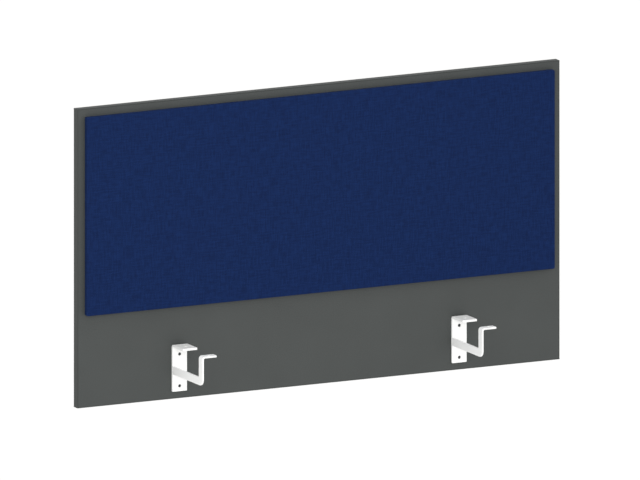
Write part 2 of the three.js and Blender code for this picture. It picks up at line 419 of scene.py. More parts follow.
def makePaint():
    # polyester powder coat on steel: clean white, half matt, with a light orange peel
    look = paintLook
    material, tree, shader = newMaterial("white powder coat")
    place = addNode(tree, "ShaderNodeTexCoord").outputs["Object"]
    peel = addNode(tree, "ShaderNodeTexNoise", {
        "Vector": place, "Scale": 1 / look["peel"], "Detail": 1, "Roughness": 0.4,
    })
    drift = addNode(tree, "ShaderNodeTexNoise", {"Vector": place, "Scale": 1 / look["drift"], "Detail": 2})
    tint = addNode(tree, "ShaderNodeMix", {
        "Factor": drift.outputs["Fac"], "A": linearColour(look["colour"]), "B": linearColour(look["shade"]),
    }, data_type="RGBA")
    sheen = addNode(tree, "ShaderNodeMapRange", {
        "Value": peel.outputs["Fac"], "To Min": look["roughRange"][0], "To Max": look["roughRange"][1],
    })
    tree.links.new(sheen.outputs["Result"], shader.inputs["Roughness"])
    finishLook(tree, shader, tint.outputs["Result"], peel.outputs["Fac"], look)
    return material


# of one grain and two tones: the screws, the staples and what the cloth hides
grainedLooks = {
    "black zinc plate": {     # plated steel: a dark grey film, a little uneven, with bright metal under it
        "dark": "#36383a", "light": "#5c6064", "tones": (0.4, 0.8), "grain": 0.8 * mm, "detail": 3,
        "fine": 0.5, "stretch": (1, 1, 1), "bump": 0.03 * mm, "rough": 0.5, "metal": 0.4,
    },
    "soft fibreboard": {      # brown, with short pressed fibres
        "dark": "#6f5236", "light": "#9b7a55", "tones": (0.35, 0.7), "grain": 4 * mm, "detail": 4,
        "fine": 0.65, "stretch": (1, 1, 3), "bump": 0.2 * mm, "rough": 0.95, "metal": 0,
    },
    "needled felt": {         # polyester: pale, with tangled fibres
        "dark": "#a09d94", "light": "#cfccc4", "tones": (0.35, 0.7), "grain": 3 * mm, "detail": 4,
        "fine": 0.65, "stretch": (1, 1, 2), "bump": 0.4 * mm, "rough": 1, "metal": 0,
    },
    "moulded nylon": {        # as it comes from the mould: milky and half matt
        "dark": "#dedbd0", "light": "#e4e1d7", "tones": (0.35, 0.7), "grain": 2 * mm, "detail": 4,
        "fine": 0.65, "stretch": (1, 1, 1), "bump": 0.02 * mm, "rough": 0.42, "metal": 0,
    },
    "galvanised wire": {      # dull grey metal
        "dark": "#8c9094", "light": "#b4b8bb", "tones": (0.35, 0.7), "grain": 1 * mm, "detail": 4,
        "fine": 0.65, "stretch": (1, 1, 1), "bump": 0.02 * mm, "rough": 0.35, "metal": 0.9,
    },
}


def makeGrained(name):
    look = grainedLooks[name]
    material, tree, shader = newMaterial(name)
    place = addNode(tree, "ShaderNodeTexCoord").outputs["Object"]
    drawn = addNode(tree, "ShaderNodeMapping", {"Vector": place, "Scale": look["stretch"]})
    grain = addNode(tree, "ShaderNodeTexNoise", {
        "Vector": drawn.outputs["Vector"], "Scale": 1 / look["grain"],
        "Detail": look["detail"], "Roughness": look["fine"],
    })
    tint = addNode(tree, "ShaderNodeValToRGB", {"Fac": grain.outputs["Fac"]})
    for stop, at, tone in zip(tint.color_ramp.elements, look["tones"], ("dark", "light")):
        stop.position = at
        stop.color = linearColour(look[tone])
    finishLook(tree, shader, tint.outputs["Color"], grain.outputs["Fac"], look)
    return material


melamine = makeMelamine()
bandPlastic = makeBandPlastic()
cloth = makeCloth()
paint = makePaint()
screwSteel = makeGrained("black zinc plate")
fibreboard = makeGrained("soft fibreboard")
felt = makeGrained("needled felt")
nylon = makeGrained("moulded nylon")
stapleWire = makeGrained("galvanised wire")
print("materials made")


def dress(nodeName, material):
    mesh = nodes[nodeName].data
    mesh.materials.clear()
    mesh.materials.append(material)


# these parts keep the shape they came with
dress("board", melamine)
dress("pad_board", fibreboard)
for name in nodes:
    if name.startswith("clip_"):
        dress(name, nylon)


edgeBand = {
    "roundOver": 1.1 * mm,
    "steps": 4,
    "stripEnd": 100 * mm,     # an edge shorter than this is a strip's end
}


def makeEdgeBands():
    # each strip's outer edges are trimmed to a small radius
    outward = {"top": (0, 0, 1), "bottom": (0, 0, -1), "left": (-1, 0, 0), "right": (1, 0, 0)}
    for side, out in outward.items():
        low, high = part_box(f"edge_band_{side}")
        middle, size = (low + high) / 2, high - low
        bm = bmesh.new()
        bmesh.ops.create_cube(bm, size=1)
        for v in bm.verts:
            v.co = Vector([middle[i] + v.co[i] * size[i] for i in range(3)])
        face = max(bm.faces, key=lambda f: f.calc_center_median().dot(Vector(out)))
        wholeRim = side in ("top", "bottom")
        rim = [e for e in face.edges if wholeRim or e.calc_length() > edgeBand["stripEnd"]]
        bmesh.ops.bevel(
            bm, geom=rim, offset=edgeBand["roundOver"], segments=edgeBand["steps"],
            profile=0.5, affect="EDGES",
        )
        mesh = evenNormals(meshFrom(bm, f"edge_band_{side}"))
        finishPiece(f"edgeBand.{side}", mesh, bandPlastic, [f"edge_band_{side}"])


makeEdgeBands()
print("board and edge bands ready")


# bracket plates and arms, as bent sheet
bracketSheet = {
    "plateThick": 5 * mm,
    "plateBend": 2 * mm,      # inside radius
    "armThick": 4 * mm,
    "armBend": 3 * mm,
    "armDepth": 18 * mm,      # of the bar and the upright, from the side
    "armCorner": 15 * mm,
    "cutCorner": 1.2 * mm,    # radius of the blank's free corners
    "edge": 0.45 * mm,        # what shot blasting and paint leave of a cut edge
    "nearHole": 3.5 * mm,     # radii
    "headHole": 3.75 * mm,
    "shankHole": 2 * mm,
    "ledge": 0.8 * mm,        # metal left behind a screw's countersink
    "nearHoleFromTip": 22 * mm,
    "farHole": 3 * mm,
    "bendSteps": 16,
    "elbowSteps": 16,         # round the arm's outer corner
    "smallSteps": 4,          # round the blank's free corners and an eased hole
    "holeSides": 40,
    "overshoot": 1 * mm,      # how far a cutter stands out of the metal
}


def arcPoints(centre, radius, start, end, steps):
    return [
        (centre[0] + radius * math.cos(math.radians(t)), centre[1] + radius * math.sin(math.radians(t)))
        for t in ramp(start, end, steps)
    ]


def flatBlank(outline, holes, thick, bendFrom, bendTo):
    # a cut sheet lying flat, with eased edges, and with cross cuts where it is to bend
    curve = bpy.data.curves.new("blank", "CURVE")
    curve.dimensions = "2D"
    curve.fill_mode = "BOTH"
    edge = bracketSheet["edge"]
    curve.bevel_depth = edge
    curve.bevel_resolution = 2
    curve.offset = -edge
    curve.extrude = thick / 2 - edge
    sides = bracketSheet["holeSides"]
    for points in [outline] + [arcPoints(c, r, 0, 360 - 360 / sides, sides - 1) for c, r in holes]:
        spline = curve.splines.new("POLY")
        spline.points.add(len(points) - 1)
        for target, (x, y) in zip(spline.points, points):
            target.co = (x, y, 0, 1)
        spline.use_cyclic_u = True
    bm = bmesh.new()
    bm.from_mesh(evaluatedMesh(linkedObject("blank", curve)))
    bmesh.ops.remove_doubles(bm, verts=bm.verts, dist=mergeWithin)
    for y in ramp(bendFrom, bendTo, bracketSheet["bendSteps"]):
        geometry = bm.verts[:] + bm.edges[:] + bm.faces[:]
        bmesh.ops.bisect_plane(bm, geom=geometry, plane_co=(0, y, 0), plane_no=(0, 1, 0), dist=cutWithin)
    bmesh.ops.recalc_face_normals(bm, faces=bm.faces)
    return bm


def bentPlace(along, deep, bendFrom, bendTo, outer):
    # where a point of the flat sheet goes: (along the wall, away from it) from the wall's outer face
    if along <= bendFrom:
        return along, deep
    if along >= bendTo:
        return bendFrom + outer - deep, outer + along - bendTo
    turn = math.pi / 2 * (along - bendFrom) / (bendTo - bendFrom)
    reach = outer - deep
    return bendFrom + reach * math.sin(turn), outer - reach * math.cos(turn)


def turnedTool(profile, x, z, sides=48):
    # a closed solid turned about a line along Y: (radius, y) from one end on the line to the other
    bm = bmesh.new()
    ends = [bm.verts.new((x, y, z)) for y in (profile[0][1], profile[-1][1])]
    turns = ramp(0, 2 * math.pi, sides)[:-1]
    rings = [
        [bm.verts.new((x + r * math.cos(t), y, z + r * math.sin(t))) for t in turns]
        for r, y in profile
    ]
    for near, far in zip(rings, rings[1:]):
        for i in range(sides):
            bm.faces.new((near[i], near[i - 1], far[i - 1], far[i]))
    for end, ring in zip(ends, (rings[0], rings[-1])):
        for i in range(sides):
            bm.faces.new((end, ring[i - 1], ring[i]))
    bmesh.ops.recalc_face_normals(bm, faces=bm.faces)
    return meshFrom(bm, "turned")


def countersinkTool(x, z, back, thick):
    # eased at the face, straight for the head, then a cone down to the shank's hole
    sheet = bracketSheet
    front, edge = back - thick, sheet["edge"]
    coneEnd = back - sheet["ledge"]
    coneStart = coneEnd - (sheet["headHole"] - sheet["shankHole"])
    easing = [
        (sheet["headHole"] + edge * (1 - math.sin(t)), front + edge * (1 - math.cos(t)))
        for t in ramp(0, math.pi / 2, sheet["smallSteps"])
    ]
    opening = [(sheet["headHole"] + edge, front - sheet["overshoot"])]
    bottom = [
        (sheet["headHole"], coneStart), (sheet["shankHole"], coneEnd),
        (sheet["shankHole"], back + sheet["overshoot"]),
    ]
    return turnedTool(opening + easing + bottom, x, z)


def cutWith(mesh, tool):
    # the first mesh without what the second one holds
    part, cutter = linkedObject("cut", mesh), linkedObject("cutter", tool)
    cut = part.modifiers.new("cut", "BOOLEAN")
    cut.operation = "DIFFERENCE"
    cut.solver = "EXACT"
    cut.use_self = True
    cut.object = cutter
    made = evaluatedMesh(part)
    bpy.data.objects.remove(cutter)
    return made


def makePlate(side):
    sheet = bracketSheet
    low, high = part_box(f"{side}_bracket_plate")
    thick, outer = sheet["plateThick"], sheet["plateBend"] + sheet["plateThick"]
    half = (high.x - low.x) / 2
    across = (low.x + high.x) / 2
    wall = high.z - low.z - outer
    bendEnd = wall + (sheet["plateBend"] + thick / 2) * math.pi / 2
    tip = bendEnd + high.y - low.y - outer
    r, steps = sheet["cutCorner"], sheet["smallSteps"]
    outline = (
        arcPoints((-half + r, r), r, 180, 270, steps)
        + arcPoints((half - r, r), r, 270, 360, steps)
        + arcPoints((half - r, tip - r), r, 0, 90, steps)
        + arcPoints((-half + r, tip - r), r, 90, 180, steps)
    )
    holes = [((0, tip - sheet["nearHoleFromTip"]), sheet["nearHole"])]
    bm = flatBlank(outline, holes, thick, wall, bendEnd)
    for v in bm.verts:
        up, away = bentPlace(v.co.y, thick / 2 + v.co.z, wall, bendEnd, outer)
        v.co = Vector((across + v.co.x, high.y - away, low.z + up))
    mesh = meshFrom(bm, f"{side}_plate")
    for end in ("lower", "upper"):
        a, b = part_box(f"{side}_{end}_bracket_screw")
        mesh = cutWith(mesh, countersinkTool((a.x + b.x) / 2, (a.z + b.z) / 2, high.y, thick))
    mesh = evenNormals(mesh)
    finishPiece(f"bracketPlate.{side}", mesh, paint, [f"{side}_bracket_plate"])


def makeArm(side):
    sheet = bracketSheet
    low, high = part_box(f"{side}_bracket_arm")
    thick, outer = sheet["armThick"], sheet["armBend"] + sheet["armThick"]
    depth, corner, r = sheet["armDepth"], sheet["armCorner"], sheet["cutCorner"]
    bendStart = high.z - low.z - outer
    bendEnd = bendStart + (sheet["armBend"] + thick / 2) * math.pi / 2
    tip = bendEnd + high.x - low.x - outer
    outline = (
        [(high.y, 0), (high.y, depth), (low.y + depth, depth)]
        + arcPoints((low.y + depth - r, tip - r), r, 0, 90, sheet["smallSteps"])
        + arcPoints((low.y + r, tip - r), r, 90, 180, sheet["smallSteps"])
        + arcPoints((low.y + corner, corner), corner, 180, 270, sheet["elbowSteps"])
    )
    holes = [((low.y + depth / 2, (bendEnd + tip) / 2), sheet["farHole"])]
    bm = flatBlank(outline, holes, thick, bendStart, bendEnd)
    for v in bm.verts:
        up, away = bentPlace(v.co.y, thick / 2 + v.co.z, bendStart, bendEnd, outer)
        v.co = Vector((low.x + away, v.co.x, low.z + up))
    mesh = evenNormals(meshFrom(bm, f"{side}_arm"))
    finishPiece(f"bracketArm.{side}", mesh, paint, [f"{side}_bracket_arm"])


for side in ("left", "right"):
    makePlate(side)
    makeArm(side)
print("brackets bent")


def newTree(name, sockets):
    # an empty tree with named inputs: {name: (kind, first value)}
    tree = bpy.data.node_groups.new(name, "GeometryNodeTree")
    tree.interface.new_socket("Geometry", in_out="INPUT", socket_type="NodeSocketGeometry")
    tree.interface.new_socket("Geometry", in_out="OUTPUT", socket_type="NodeSocketGeometry")
    for label, (kind, value) in sockets.items():
        socket = tree.interface.new_socket(label, in_out="INPUT", socket_type=kind)
        if value is not None:
            socket.default_value = value
    return tree, addNode(tree, "NodeGroupInput").outputs


def runTree(name, path, tree, values):
    # the tree's result on a mesh, as a plain mesh
    holder = linkedObject(name, path)
    modifier = holder.modifiers.new(name, "NODES")
    modifier.node_group = tree
    for item in tree.interface.items_tree:
        if item.in_out == "INPUT" and item.name in values:
            modifier[item.identifier] = values[item.name]
    return evaluatedMesh(holder)


def endTree(tree, geometry, material):
    # the instances become one mesh in one material
    real = addNode(tree, "GeometryNodeRealizeInstances", {"Geometry": geometry})
    dressed = addNode(tree, "GeometryNodeSetMaterial", {
        "Geometry": real.outputs["Geometry"], "Material": material,
    })
    addNode(tree, "NodeGroupOutput", {"Geometry": dressed.outputs["Geometry"]})


# welds between the arms and the plates
weldBead = {
    "pitch": 1.5 * mm,        # from one ripple to the next
    "leg": 2.6 * mm,          # size of the fillet
    "flat": 0.55,             # thickness of a ripple along the seam, against its width
    "inset": 0.35,            # of the leg: how far the corners keep within the arm's height
    "jitter": 0.12,           # how much smaller a ripple may be
    "seed": 4,
}


def weldTree():
    # overlapping ripples along a path
    tree, given = newTree("weldRipples", {
        "Pitch": ("NodeSocketFloat", weldBead["pitch"]),
        "Leg": ("NodeSocketFloat", weldBead["leg"]),
        "Flat": ("NodeSocketFloat", weldBead["flat"]),
        "Jitter": ("NodeSocketFloat", weldBead["jitter"]),
        "Seed": ("NodeSocketInt", weldBead["seed"]),
    })
    line = addNode(tree, "GeometryNodeMeshToCurve", {"Mesh": given["Geometry"]})
    dots = addNode(tree, "GeometryNodeCurveToPoints", {
        "Curve": line.outputs["Curve"], "Length": given["Pitch"],
    }, mode="LENGTH")
    ripple = addNode(tree, "GeometryNodeMeshIcoSphere", {"Radius": given["Leg"], "Subdivisions": 3})
    squash = addNode(tree, "ShaderNodeCombineXYZ", {"X": 1.0, "Y": 1.0, "Z": given["Flat"]})
    shaped = addNode(tree, "GeometryNodeTransform", {
        "Geometry": ripple.outputs["Mesh"], "Scale": squash.outputs["Vector"],
    })
    smooth = addNode(tree, "GeometryNodeSetShadeSmooth", {"Geometry": shaped.outputs["Geometry"]})
    smallest = addNode(tree, "ShaderNodeMath", {0: 1.0, 1: given["Jitter"]}, operation="SUBTRACT")
    size = addNode(tree, "FunctionNodeRandomValue", {
        "Min": smallest.outputs["Value"], "Max": 1.0, "Seed": given["Seed"],
    }, data_type="FLOAT")
    placed = addNode(tree, "GeometryNodeInstanceOnPoints", {
        "Points": dots.outputs["Points"], "Instance": smooth.outputs["Geometry"],
        "Rotation": dots.outputs["Rotation"], "Scale": size.outputs["Value"],
    })
    endTree(tree, placed.outputs["Instances"], paint)
    return tree


def makeWeld(side, tree):
    # along the arm's inner face and round the upper and lower corners of its end
    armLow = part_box(f"{side}_bracket_arm")[0]
    inner = armLow.x + bracketSheet["armThick"]
    low, high = armLow.z, armLow.z + bracketSheet["armDepth"]
    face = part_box(f"{side}_bracket_plate")[1].y - bracketSheet["plateThick"]
    sink = weldBead["inset"] * weldBead["leg"]
    path = [
        (armLow.x + weldBead["leg"], face, high - sink), (inner, face, high - sink),
        (inner, face, low + sink), (armLow.x + weldBead["leg"], face, low + sink),
    ]
    mesh = bpy.data.meshes.new(f"{side}_weld_path")
    mesh.from_pydata(path, [(i, i + 1) for i in range(len(path) - 1)], [])
    bead = runTree(f"{side}_weld", mesh, tree, {})
    finishPiece(f"weld.{side}", bead, paint)


ripples = weldTree()
for side in ("left", "right"):
    makeWeld(side, ripples)
print("welds laid")


bracketScrew = {
    "headRadius": 3.5 * mm,
    "shankRadius": 1.75 * mm,
    "rim": 0.3 * mm,
    "ease": 0.12 * mm,         # off the head's radius at its face
    "easeDepth": 0.35,         # of the rim
    "cone": 1.75 * mm,
    "neck": 0.85,              # of the shank's radius, where there is no thread
    "threadStart": 4 * mm,     # under the head's face
    "point": 4 * mm,           # length of the taper
    "threadDepth": 0.5 * mm,
    "threadPitch": 1.6 * mm,
    "threadSlope": 3.2,
    "leastCore": 0.05 * mm,    # radius left at the point
    "sides": 40,
    "rings": 90,
    "ringGaps": (0.3 * mm, 0.15 * mm),          # from the cone to the first ring, from the last to the tip
    "recess": (0.6 * mm, 2.2 * mm, 1.6 * mm),   # half width and reach of the cross at the face, depth
    "recessFoot": 0.4,         # the cross's size at its bottom, against its face
    "recessAbove": 0.4 * mm,   # how far its cutter stands out of the face
    "seed": 11,
}


def screwMesh(length):
    # a turned screw pointing along +Y from its face at y = 0, with a thread and a cross recess
    s = bracketScrew
    neck = s["rim"] + s["cone"]
    first, last = s["ringGaps"]
    rings = [0, s["rim"] * s["easeDepth"], s["rim"], neck]
    rings += [neck + d for d in ramp(first, length - neck - last, s["rings"])]

    def radiusAt(depth, turn):
        if depth <= s["rim"]:
            return s["headRadius"] - (s["ease"] if depth == 0 else 0)
        if depth <= neck:
            return s["headRadius"] - (depth - s["rim"])
        taper = min(1, (length - depth) / s["point"])
        core = (s["shankRadius"] - s["threadDepth"]) * taper + s["leastCore"]
        if depth < s["threadStart"]:
            return s["shankRadius"] * s["neck"]
        phase = (depth / s["threadPitch"] - turn) % 1
        return core + s["threadDepth"] * taper ** 0.5 * max(0, 1 - abs(phase - 0.5) * s["threadSlope"])

    bm = bmesh.new()
    grid = []
    for depth in rings:
        turns = [i / s["sides"] for i in range(s["sides"])]
        radii = [radiusAt(depth, t) for t in turns]
        grid.append([
            bm.verts.new((r * math.cos(2 * math.pi * t), depth, r * math.sin(2 * math.pi * t)))
            for r, t in zip(radii, turns)
        ])
    for near, far in zip(grid, grid[1:]):
        for i in range(s["sides"]):
            j = (i + 1) % s["sides"]
            bm.faces.new((near[i], near[j], far[j], far[i]))
    tip = bm.verts.new((0, length, 0))
    for i in range(s["sides"]):
        bm.faces.new((grid[-1][i], grid[-1][(i + 1) % s["sides"]], tip))
    bm.faces.new(grid[0])
    bmesh.ops.recalc_face_normals(bm, faces=bm.faces)
    return meshFrom(bm, "screw")


def crossTool():
    # the driver's cross, narrower at its bottom
    half, reach, deep = bracketScrew["recess"]
    above = bracketScrew["recessAbove"]
    bm = bmesh.new()
    for a, b in ((reach, half), (half, reach)):
        made = bmesh.ops.create_cube(bm, size=2)["verts"]
        for v in made:
            share = 1.0 if v.co.y < 0 else bracketScrew["recessFoot"]
            v.co = Vector((v.co.x * a * share, -above if v.co.y < 0 else deep, v.co.z * b * share))
    return meshFrom(bm, "cross")


def makeScrews():
    names = [name for name in nodes if name.endswith("_screw")]
    boxes = [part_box(name) for name in names]
    length = boxes[0][1].y - boxes[0][0].y
    master = cutWith(screwMesh(length), crossTool())
    smoothShade(master, angle=30)
    screw = linkedObject("screwMaster", master)
    places = bpy.data.meshes.new("screwPlaces")
    places.from_pydata([((a.x + b.x) / 2, a.y, (a.z + b.z) / 2) for a, b in boxes], [], [])
    tree, given = newTree("driveScrews", {
        "Screw": ("NodeSocketObject", None),
        "Turn": ("NodeSocketFloat", math.pi),
        "Seed": ("NodeSocketInt", bracketScrew["seed"]),
    })
    source = addNode(tree, "GeometryNodeObjectInfo", {"Object": given["Screw"]})
    turn = addNode(tree, "FunctionNodeRandomValue", {
        "Min": 0.0, "Max": given["Turn"], "Seed": given["Seed"],
    }, data_type="FLOAT")
    about = addNode(tree, "ShaderNodeCombineXYZ", {"Y": turn.outputs["Value"]})
    placed = addNode(tree, "GeometryNodeInstanceOnPoints", {
        "Points": given["Geometry"], "Instance": source.outputs["Geometry"],
        "Rotation": about.outputs["Vector"],
    })
    endTree(tree, placed.outputs["Instances"], screwSteel)
    mesh = runTree("screws", places, tree, {"Screw": screw})
    bpy.data.objects.remove(screw)
    finishPiece("bracketScrews", mesh, screwSteel, names)


makeScrews()
print("screws driven")


padFelt = {
    "edge": 0.8 * mm,
    "edgeSteps": 3,
    "step": 12 * mm,
    "uneven": 0.12 * mm,
    "patch": 55 * mm,
    "faceDepth": 0.1 * mm,    # what lies this near to the front is the face
}


def makeFelt():
    # a needled sheet: soft cut edges, and a face that is never quite flat
    low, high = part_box("pad_felt")
    size = high - low
    bm = bmesh.new()
    columns, rows = round(size.x / padFelt["step"]), round(size.z / padFelt["step"])
    bmesh.ops.create_grid(bm, x_segments=columns, y_segments=rows, size=0.5)
    for v in bm.verts:
        x, z = v.co.x * size.x, v.co.y * size.z
        v.co = Vector(((low.x + high.x) / 2 + x, high.y, (low.z + high.z) / 2 + z))
    made = bmesh.ops.extrude_face_region(bm, geom=bm.faces[:])["geom"]
    front = {g for g in made if isinstance(g, bmesh.types.BMVert)}
    for v in front:
        v.co.y = low.y
    frontEdges = [e for e in bm.edges if front.issuperset(e.verts) and len(e.link_faces) == 2]
    rim = [e for e in frontEdges if e.calc_face_angle(0) > 1]
    bmesh.ops.bevel(
        bm, geom=rim, offset=padFelt["edge"], segments=padFelt["edgeSteps"], profile=0.5, affect="EDGES",
    )
    for v in bm.verts:
        if v.co.y < low.y + padFelt["faceDepth"]:
            wave = noise.noise(Vector((v.co.x, 0, v.co.z)) / padFelt["patch"])
            v.co.y += padFelt["uneven"] * (0.5 + 0.5 * wave)
    bmesh.ops.recalc_face_normals(bm, faces=bm.faces)
    mesh = meshFrom(bm, "felt")
    smoothShade(mesh, angle=50)
    piece = finishPiece("padFelt", mesh, felt, ["pad_felt"])


padCover = {
    "corner": 2.8 * mm,        # outside radius at the pad's corners
    "frontEdge": 2 * mm,       # radius over the felt's edge
    "backEdge": 1.2 * mm,
    "returns": 25 * mm,        # turned over onto the back of the board
    "thick": 0.9 * mm,
    "crown": 0.7 * mm,         # most that the front stands off flat
    "uneven": 0.1 * mm,        # what the felt's thick and thin patches add
    "patch": 70 * mm,
    "frameInset": 8 * mm,      # where the even grid of the front starts
    "margin": 2.5 * mm,        # between the last raised step and the front edge's curve
    "cornerZone": 22 * mm,     # finer steps this near to a corner
    "cornerSteps": 18,
    "cornerCrowd": 1.5,        # how much those steps crowd to the corner
    "sideStep": 12 * mm,
    "arcSteps": 6,
    "frontSteps": 6,           # steps of the run over each stretch
    "wallSteps": 8,
    "backSteps": 4,
    "returnSteps": 8,
    "foldStep": 9,             # which corner step carries the tuck's folded edge
    "foldStart": 2.6 * mm,     # its distance from the corner at the front edge
    "foldLean": 0.95,          # how much further away it is, against the depth
    "foldWidth": 0.4 * mm,     # over which it stands out
    "foldFull": 3 * mm,        # depth at which it stands out fully
    "foldEase": 1.5,           # how soon it sinks back along the side
    "foldRise": 0.55 * mm,     # thickness of the folded layer
    "mitre": 0.3 * mm,         # depth of the groove where two returns meet
    "mitreWidth": 1.3 * mm,
}

tension = {
    "cells": (60, 24),
    "frames": 24,
    "pressure": 0.12,
    "stiffness": 60,
    "mass": 0.35,              # kg per square metre
    "shear": 10,
    "bending": 1,
    "damping": 4,
    "quality": 6,
    "quickLift": 3 * mm,
    "quickReach": 80 * mm,
}


def tautFront(low, high):
    # how far stretched cloth stands off flat: a sheet pinned all round, pushed gently by the felt
    nx, nz = tension["cells"]
    width, height = high[0] - low[0], high[1] - low[1]
    bm = bmesh.new()
    rows = [
        [bm.verts.new((low[0] + width * i / nx, 0, low[1] + height * j / nz)) for i in range(nx + 1)]
        for j in range(nz + 1)
    ]
    for a, b in zip(rows, rows[1:]):
        for i in range(nx):
            bm.faces.new((a[i], a[i + 1], b[i + 1], b[i]))
    mesh = meshFrom(bm, "tautFront")
    holder = linkedObject("tautFront", mesh)
    pins = holder.vertex_groups.new(name="stapled")
    edge = [j * (nx + 1) + i for j in range(nz + 1) for i in range(nx + 1) if i in (0, nx) or j in (0, nz)]
    pins.add(edge, 1, "REPLACE")
    cloths = holder.modifiers.new("cloth", "CLOTH")
    settings = cloths.settings
    settings.quality = tension["quality"]
    settings.mass = tension["mass"] * width * height / len(mesh.vertices)
    settings.tension_stiffness = tension["stiffness"]
    settings.compression_stiffness = tension["stiffness"]
    settings.shear_stiffness = tension["shear"]
    settings.bending_stiffness = tension["bending"]
    settings.air_damping = tension["damping"]
    settings.use_pressure = True
    settings.uniform_pressure_force = tension["pressure"]
    settings.vertex_group_mass = "stapled"
    settings.effector_weights.gravity = 0
    cloths.collision_settings.use_collision = False
    cloths.point_cache.frame_start = 1
    cloths.point_cache.frame_end = tension["frames"]
    for frameNumber in range(1, tension["frames"] + 1):
        scene.frame_set(frameNumber)
    settled = bpy.data.meshes.new_from_object(holder.evaluated_get(bpy.context.evaluated_depsgraph_get()))
    heights = [abs(v.co.y) for v in settled.vertices]
    bpy.data.objects.remove(holder)
    scene.frame_set(1)
    print("cloth settled, most lift", round(max(heights) / mm, 2), "mm")
    return [heights[j * (nx + 1):(j + 1) * (nx + 1)] for j in range(nz + 1)]


def makeCover():
    c = padCover
    low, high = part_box("pad_cover")
    middle = (low + high) / 2
    half = {"x": (high.x - low.x) / 2, "z": (high.z - low.z) / 2}
    front, back = low.y, high.y
    inner = (half["x"] - c["frontEdge"], half["z"] - c["frontEdge"])
    heights = tautFront((-inner[0], -inner[1]), inner)
    nx, nz = tension["cells"]

    def crownAt(x, z):
        u = min(max((x + inner[0]) / (2 * inner[0]), 0), 1) * nx
        w = min(max((z + inner[1]) / (2 * inner[1]), 0), 1) * nz
        i, j = min(int(u), nx - 1), min(int(w), nz - 1)
        fu, fw = u - i, w - j
        near = heights[j][i] * (1 - fu) + heights[j][i + 1] * fu
        far = heights[j + 1][i] * (1 - fu) + heights[j + 1][i + 1] * fu
        lift = c["crown"] * math.tanh((near * (1 - fw) + far * fw) / c["crown"])
        wave = noise.noise(Vector((x, 0.3, z)) / c["patch"])
        return lift + c["uneven"] * wave * min(1, lift / c["crown"])

    # the cloth's run from the edge of the front's grid, round the sides and onto the back
    run = [(c["frameInset"], front, "front"), (c["frontEdge"] + c["margin"], front, "front")]
    for t in ramp(0, math.pi / 2, c["frontSteps"]):
        run.append((c["frontEdge"] * (1 - math.sin(t)), front + c["frontEdge"] * (1 - math.cos(t)), "edge"))
    for y in ramp(front + c["frontEdge"], back - c["backEdge"], c["wallSteps"])[1:]:
        run.append((0, y, "wall"))
    for t in ramp(0, math.pi / 2, c["backSteps"])[1:]:
        run.append((c["backEdge"] * (1 - math.cos(t)), back - c["backEdge"] * (1 - math.sin(t)), "wall"))
    for inset in ramp(c["backEdge"], c["returns"], c["returnSteps"])[1:]:
        run.append((inset, back, "return"))
    spans = [0]
    for a, b in zip(run, run[1:]):
        spans.append(spans[-1] + math.hypot(b[0] - a[0], b[1] - a[1]))

    sides = [
        {"along": (1, 0), "out": (0, -1), "half": half["x"], "reach": half["z"], "tucked": True},
        {"along": (0, 1), "out": (1, 0), "half": half["z"], "reach": half["x"], "tucked": False},
        {"along": (-1, 0), "out": (0, 1), "half": half["x"], "reach": half["z"], "tucked": True},
        {"along": (0, -1), "out": (-1, 0), "half": half["z"], "reach": half["x"], "tucked": False},
    ]
    zone, count, fold = c["cornerZone"], c["cornerSteps"], c["foldStep"]

    def cornerSteps(radius, depth, tucked):
        # distances from the corner, and how far each step stands out
        plain = [radius + (zone - radius) * (k / count) ** c["cornerCrowd"] for k in range(count + 1)]
        if not tucked or depth is None:
            return plain, [0] * (count + 1)
        crease = c["foldStart"] + c["foldLean"] * depth
        after = crease + c["foldWidth"]
        rest = count - fold - 1
        steps = [radius + (crease - radius) * k / fold for k in range(fold + 1)]
        steps += [after + (zone - after) * k / rest for k in range(rest + 1)]
        fade = min(1, depth / c["foldFull"])
        rises = [0] * (fold + 1)
        rises += [c["foldRise"] * fade * (1 - k / rest) ** c["foldEase"] for k in range(rest + 1)]
        return steps, rises

    def middleSteps(side, long):
        # the plain steps between a side's two corner zones
        return ramp(zone, 2 * long - zone, round((2 * side["half"] - 2 * zone) / c["sideStep"]))[1:-1]

    bm = bmesh.new()
    uvs = bm.loops.layers.uv.new("cloth")
    rings = []
    for inset, y, part in run:
        radius = max(c["corner"] - inset, 0)
        depth = y - front if part == "wall" or part == "edge" and y > front else None
        ring, owners = [], []     # owners: which side lays each step's cloth
        for number, side in enumerate(sides):
            alongX, alongZ = side["along"]
            outX, outZ = side["out"]
            long, reach = side["half"] - inset, side["reach"] - inset
            steps, rises = cornerSteps(radius, depth, side["tucked"])
            between = middleSteps(side, long)
            places = steps + between + [2 * long - d for d in reversed(steps)]
            stands = rises + [0] * len(between) + rises[::-1]
            for d, stand in zip(places, stands):
                x = alongX * (d - long) + outX * (reach + stand)
                z = alongZ * (d - long) + outZ * (reach + stand)
                rise = 0
                if part == "front":
                    rise = -crownAt(x, z)
                if part == "return":
                    nearest = min(d, 2 * long - d) / c["mitreWidth"]
                    rise = -c["mitre"] * math.exp(-nearest ** 2)
                ring.append(bm.verts.new((middle.x + x, y + rise, middle.z + z)))
                owners.append(number)
            for k in range(1, c["arcSteps"]):
                turn = math.pi / 2 * k / c["arcSteps"]
                a = long - radius + radius * math.sin(turn)
                b = reach - radius + radius * math.cos(turn)
                x, z = alongX * a + outX * b, alongZ * a + outZ * b
                rise = {"front": -crownAt(x, z), "return": -c["mitre"]}.get(part, 0)
                ring.append(bm.verts.new((middle.x + x, y + rise, middle.z + z)))
                owners.append(number if k < c["arcSteps"] / 2 else (number + 1) % 4)
        rings.append(ring)

    def layUv(face, side, span):
